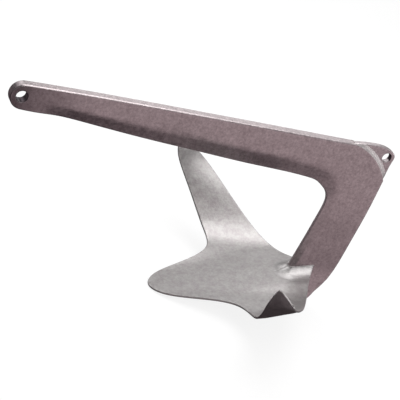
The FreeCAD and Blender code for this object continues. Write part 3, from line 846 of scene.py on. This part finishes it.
def shank_painted_shade(p, n):
    """Painted shade: the cheeks darken toward the shackle end, the very end and the bore of the eye most of all, and
    the leg low down and the underside of the arm near the bend darken as well.
    """
    flat = np.abs(n[:, 1])
    cheek = 0.56 * (1 - smoothstep(p[:, 0], -10.0, 118.0)) * smoothstep(flat, 0.955, 0.992)
    cheek += 0.22 * (1 - smoothstep(p[:, 0], -12.0, 22.0)) * smoothstep(flat, 0.35, 0.85)
    out = np.hypot(p[:, 0] - NOSE[0], p[:, 2] - NOSE[1])
    end = 0.66 * smoothstep(out, 13.5, 16.0) * (1 - smoothstep(p[:, 0], -9.0, -1.0)) * smoothstep(p[:, 2], -13.0, -4.0)
    bore = 1.0 - smoothstep(np.hypot(p[:, 0], p[:, 2]), 7.6, 8.6)
    low = (0.17 * smoothstep(-p[:, 2], 70.0, 130.0) + 0.09 * smoothstep(-p[:, 2], 130.0, 185.0)) * (1 - smoothstep(-p[:, 2], 184.0, 206.0))
    under = 0.52 * smoothstep(p[:, 0], 215.0, 285.0) * (1 - 0.9 * smoothstep(p[:, 0], 345.0, 415.0)) * smoothstep(-n[:, 2], 0.06, 0.16) * (1 - smoothstep(-p[:, 2], 70.0, 110.0))
    return np.maximum(np.maximum(cheek, end), np.maximum(bore, np.maximum(low, under)))


# painted shade on the shank, kept as a vertex attribute that the material reads
painted_shade_and_tone(shank, shank_painted_shade)
# painted shade in the bore of the lug's hole, less on faces that look up
painted_shade_and_tone(lug, lambda p, n: (1.0 - smoothstep(np.hypot(p[:, 0] - 535.0, p[:, 2]), 6.9, 7.8)) * (1 - 0.85 * smoothstep(n[:, 2], 0.35, 0.75)))


def toe_dull(p, n):
    """The foot welds take the claw's darker tone as they thin out on it."""
    rise = np.array([q[2] - claw_level(q[0], abs(q[1])) for q in p])
    return 0.25 * (1 - smoothstep(rise, 0.3, 3.6))


painted_shade_and_tone(foot_port, toe_dull)
painted_shade_and_tone(foot_star, toe_dull)


# ---------------------------------------------------------------- materials
def node(nt, kind, **props):
    n = nt.nodes.new(kind)
    for k, v in props.items():
        setattr(n, k, v)
    return n


def steel(name, dark, light, rough=(0.42, 0.58), metallic=0.75, grain=1.0, spec=0.5):
    """Dull hot-dip zinc over rough steel: cloudy tone, fine speckle, uneven gloss, paler along the edges, and darkened
    where the mesh marks painted shade or a darker tone.
    """
    m = bpy.data.materials.new(name)
    m.use_nodes = True
    nt = m.node_tree
    nt.nodes.clear()
    out = node(nt, "ShaderNodeOutputMaterial")
    bsdf = node(nt, "ShaderNodeBsdfPrincipled")
    nt.links.new(bsdf.outputs[0], out.inputs[0])
    bsdf.inputs["Metallic"].default_value = metallic
    bsdf.inputs["Specular IOR Level"].default_value = spec
    co = node(nt, "ShaderNodeTexCoord")
    P = co.outputs["Object"]

    def tex(scale, detail, rough_, dist=0.0):
        n = node(nt, "ShaderNodeTexNoise")
        n.inputs["Scale"].default_value = scale
        n.inputs["Detail"].default_value = detail
        n.inputs["Roughness"].default_value = rough_
        n.inputs["Distortion"].default_value = dist
        nt.links.new(P, n.inputs["Vector"])
        return n.outputs["Fac"]

    def ramp(src, p0, p1, c0, c1):
        r = node(nt, "ShaderNodeValToRGB")
        r.color_ramp.elements[0].position, r.color_ramp.elements[0].color = p0, (*c0, 1)
        r.color_ramp.elements[1].position, r.color_ramp.elements[1].color = p1, (*c1, 1)
        nt.links.new(src, r.inputs[0])
        return r.outputs[0]

    def mix(kind, fac, a, b):
        n = node(nt, "ShaderNodeMix", data_type="RGBA", blend_type=kind)
        if isinstance(fac, float):
            n.inputs[0].default_value = fac
        else:
            nt.links.new(fac, n.inputs[0])
        nt.links.new(a, n.inputs[6])
        nt.links.new(b, n.inputs[7])
        return n.outputs[2]

    def maths(op, a, b=None, v=0.5, clamp=False):
        n = node(nt, "ShaderNodeMath", operation=op, use_clamp=clamp)
        nt.links.new(a, n.inputs[0])
        if b is not None:
            nt.links.new(b, n.inputs[1])
        else:
            n.inputs[1].default_value = v
        return n.outputs[0]

    cloud = tex(95.0, 4.0, 0.6, 0.3)
    blotch = tex(260.0, 4.0, 0.66, 0.2)
    speck = tex(900.0, 3.0, 0.65)
    base = ramp(cloud, 0.36, 0.64, dark, light)
    fine = ramp(blotch, 0.36, 0.64, (0.80, 0.785, 0.795), (1.17, 1.17, 1.17))
    base = mix("MULTIPLY", min(1.0, grain), base, fine)
    dots = ramp(speck, 0.36, 0.62, (0.86, 0.86, 0.86), (1.10, 1.10, 1.10))
    base = mix("MULTIPLY", 0.8 * grain if grain < 1.25 else 1.0, base, dots)
    # edges a little paler, in patches
    at = node(nt, "ShaderNodeAttribute", attribute_name="rim")
    rim_pale = maths("MULTIPLY", at.outputs["Fac"], blotch, clamp=True)
    rim_pale = maths("MULTIPLY", rim_pale, v=0.30, clamp=True)
    pale = ramp(cloud, 0.3, 0.7, tuple(min(1.0, c * 1.5) for c in light), tuple(min(1.0, c * 1.7) for c in light))
    base = mix("MIX", rim_pale, base, pale)
    # darkening read from the mesh: painted shade on the shank and lug, the claw's darker tone on the foot welds
    shade_and_tone_attr = node(nt, "ShaderNodeAttribute", attribute_name="painted_shade_and_tone")
    base = mix("MULTIPLY", 1.0, base, ramp(shade_and_tone_attr.outputs["Fac"], 0.0, 1.0, (1.0, 1.0, 1.0), (0.09, 0.07, 0.085)))
    nt.links.new(base, bsdf.inputs["Base Color"])
    # gloss
    r1 = node(nt, "ShaderNodeMapRange")
    r1.inputs["From Min"].default_value, r1.inputs["From Max"].default_value = 0.35, 0.65
    r1.inputs["To Min"].default_value, r1.inputs["To Max"].default_value = rough
    nt.links.new(blotch, r1.inputs["Value"])
    nt.links.new(r1.outputs[0], bsdf.inputs["Roughness"])
    # relief: shallow dimples and a fine grain
    b1 = node(nt, "ShaderNodeBump")
    b1.inputs["Strength"].default_value = 0.35
    b1.inputs["Distance"].default_value = 0.0006
    nt.links.new(tex(240.0, 3.0, 0.6, 0.2), b1.inputs["Height"])
    b2 = node(nt, "ShaderNodeBump")
    b2.inputs["Strength"].default_value = 0.30 * grain
    b2.inputs["Distance"].default_value = 0.0002
    nt.links.new(speck, b2.inputs["Height"])
    nt.links.new(b1.outputs[0], b2.inputs["Normal"])
    nt.links.new(b2.outputs[0], bsdf.inputs["Normal"])
    return m


shank_mat = steel("shank_zinc", (0.440, 0.385, 0.392), (0.520, 0.460, 0.468), rough=(0.28, 0.38), metallic=0.88)
claw_mat = steel("claw_zinc", (0.348, 0.325, 0.326), (0.405, 0.392, 0.385), rough=(0.28, 0.37), metallic=0.60, grain=0.5)
lug_mat = steel("lug_zinc", (0.460, 0.410, 0.418), (0.550, 0.500, 0.508), rough=(0.30, 0.40), metallic=0.85)
keel_mat = steel("keel_zinc", (0.440, 0.385, 0.392), (0.520, 0.460, 0.468), rough=(0.28, 0.38), metallic=0.88)
# lug beads: weld metal paler than the shank, lightened further as a painted highlight along the crown
lug_weld_mat = steel("lug_weld_zinc", (0.600, 0.560, 0.560), (0.700, 0.660, 0.655), rough=(0.32, 0.42), metallic=0.70, grain=0.6)
weld_mat = steel("weld_zinc", (0.440, 0.425, 0.420), (0.520, 0.505, 0.500), rough=(0.28, 0.38), metallic=0.65, grain=0.5)

for ob, mat, slot, nodes in (
    (shank, shank_mat, "shank_steel", ["shank"]),
    (claw, claw_mat, "claw_steel", ["claw"]),
    (lug, lug_mat, "lug_steel", ["tripping_lug"]),
    (keel, keel_mat, "keel_steel", ["keel_rib"]),
    (foot_port, weld_mat, "weld_metal", ["foot_weld_port"]),
    (foot_star, weld_mat, "weld_metal", ["foot_weld_starboard"]),
    (keel_port, weld_mat, "weld_metal", ["keel_weld_port"]),
    (keel_star, weld_mat, "weld_metal", ["keel_weld_starboard"]),
    (lug_port, lug_weld_mat, "weld_metal", ["lug_weld_port"]),
    (lug_star, lug_weld_mat, "weld_metal", ["lug_weld_starboard"]),
):
    ob.data.materials.clear()
    ob.data.materials.append(mat)
    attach(ob, "root")
    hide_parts(*nodes)

# the CAD nodes behind them carry the same finishes
for name, mat in (("shank", shank_mat), ("claw", claw_mat), ("tripping_lug", lug_mat), ("keel_rib", keel_mat)):
    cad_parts[name].data.materials.clear()
    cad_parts[name].data.materials.append(mat)
for name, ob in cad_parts.items():
    if "weld" in name:
        ob.data.materials.clear()
        ob.data.materials.append(weld_mat)

# ---------------------------------------------------------------- floor and light
floor_me = bpy.data.meshes.new("floor")
floor_me.from_pydata([(-40, -40, 0), (40, -40, 0), (40, 40, 0), (-40, 40, 0)], [], [(0, 1, 2, 3)])
floor = bpy.data.objects.new("floor", floor_me)
bpy.context.scene.collection.objects.link(floor)
fm = bpy.data.materials.new("floor_paper")
fm.use_nodes = True
fb = fm.node_tree.nodes["Principled BSDF"]
fb.inputs["Base Color"].default_value = (0.16, 0.16, 0.16, 1)
fb.inputs["Roughness"].default_value = 0.9
fb.inputs["Specular IOR Level"].default_value = 0.1
fb.inputs["Emission Color"].default_value = (1, 1, 1, 1)
fb.inputs["Emission Strength"].default_value = 0.86
floor_me.materials.append(fm)
# the paper lights itself, and its bounce is kept off the metal, so that undersides stay dark
floor.visible_diffuse = False
floor.visible_glossy = False
floor.visible_shadow = False

SKY, GROUND, CARD = (0.265, 0.262, 0.262), (0.012, 0.007, 0.010), (0.62, 0.515, 0.535)
world = bpy.data.worlds.new("studio")
bpy.context.scene.world = world
world.use_nodes = True
wt = world.node_tree
bg = wt.nodes["Background"]
bg.inputs[1].default_value = 1.0
wc = wt.nodes.new("ShaderNodeTexCoord")
sep = wt.nodes.new("ShaderNodeSeparateXYZ")
wt.links.new(wc.outputs["Generated"], sep.inputs[0])


def ramp_on(axis, a, b):
    n = wt.nodes.new("ShaderNodeMapRange")
    n.interpolation_type = "SMOOTHSTEP"
    n.inputs["From Min"].default_value, n.inputs["From Max"].default_value = a, b
    wt.links.new(sep.outputs[axis], n.inputs["Value"])
    return n.outputs[0]


def product(a, b):
    n = wt.nodes.new("ShaderNodeMath")
    n.operation = "MULTIPLY"
    wt.links.new(a, n.inputs[0])
    wt.links.new(b, n.inputs[1])
    return n.outputs[0]


def blend(fac, a, b):
    n = wt.nodes.new("ShaderNodeMix")
    n.data_type = "RGBA"
    wt.links.new(fac, n.inputs[0])
    for k, c in ((6, a), (7, b)):
        if isinstance(c, tuple):
            n.inputs[k].default_value = (*c, 1)
        else:
            wt.links.new(c, n.inputs[k])
    return n.outputs[2]


# dark below the horizon but for a pale card standing low in front and two dim ones behind; dim above
card = product(product(ramp_on("Z", -0.69, -0.51), ramp_on("Z", -0.04, -0.22)), ramp_on("Y", -0.25, -0.55))
behind = product(product(ramp_on("Z", -0.80, -0.60), ramp_on("X", 0.10, -0.20)), ramp_on("Y", 0.20, 0.50))
ground = blend(behind, blend(ramp_on("Y", 0.0, -0.30), GROUND, (0.045, 0.030, 0.038)), (0.17, 0.125, 0.145))
rear = product(product(ramp_on("Z", -0.42, -0.30), ramp_on("Z", -0.02, -0.12)), ramp_on("Y", 0.35, 0.60))
ground = blend(rear, ground, (0.36, 0.31, 0.32))
wt.links.new(blend(card, blend(ramp_on("Z", -0.05, 0.05), ground, SKY), CARD), bg.inputs[0])


def softbox(name, loc, aim, size, energy, color=(1, 1, 1)):
    L = bpy.data.lights.new(name, "AREA")
    L.shape = "RECTANGLE"
    L.size, L.size_y = size
    L.energy = energy
    L.color = color
    o = bpy.data.objects.new(name, L)
    bpy.context.scene.collection.objects.link(o)
    o.location = loc
    o.rotation_mode = "QUATERNION"
    o.rotation_quaternion = (Vector(aim) - Vector(loc)).to_track_quat("-Z", "Y")
    return o


softbox("overhead", (0.28, 0.08, 1.9), (0.28, -0.12, 0.1), (1.6, 1.4), 21.5)
softbox("mid", (0.25, 1.05, 1.75), (0.20, 0.0, 0.1), (1.2, 0.85), 6.0)
softbox("back", (1.15, 2.1, 1.1), (0.0, 0.0, 0.1), (1.3, 1.0), 3.7)
softbox("left", (-0.75, 1.40, 1.15), (0.18, 0.0, 0.05), (1.5, 0.6), 5.0)
softbox("low_right", (1.95, -1.25, 0.26), (0.27, 0.0, 0.24), (0.7, 0.5), 2.4)
softbox("front", (0.3, -1.8, 1.8), (0.0, 0.0, 0.12), (1.2, 0.8), 10)
softbox("right", (2.3, 0.1, 0.7), (0.25, 0.0, 0.2), (0.9, 0.9), 7)

bpy.context.scene.view_settings.view_transform = "Standard"
bpy.context.scene.view_settings.look = "None"
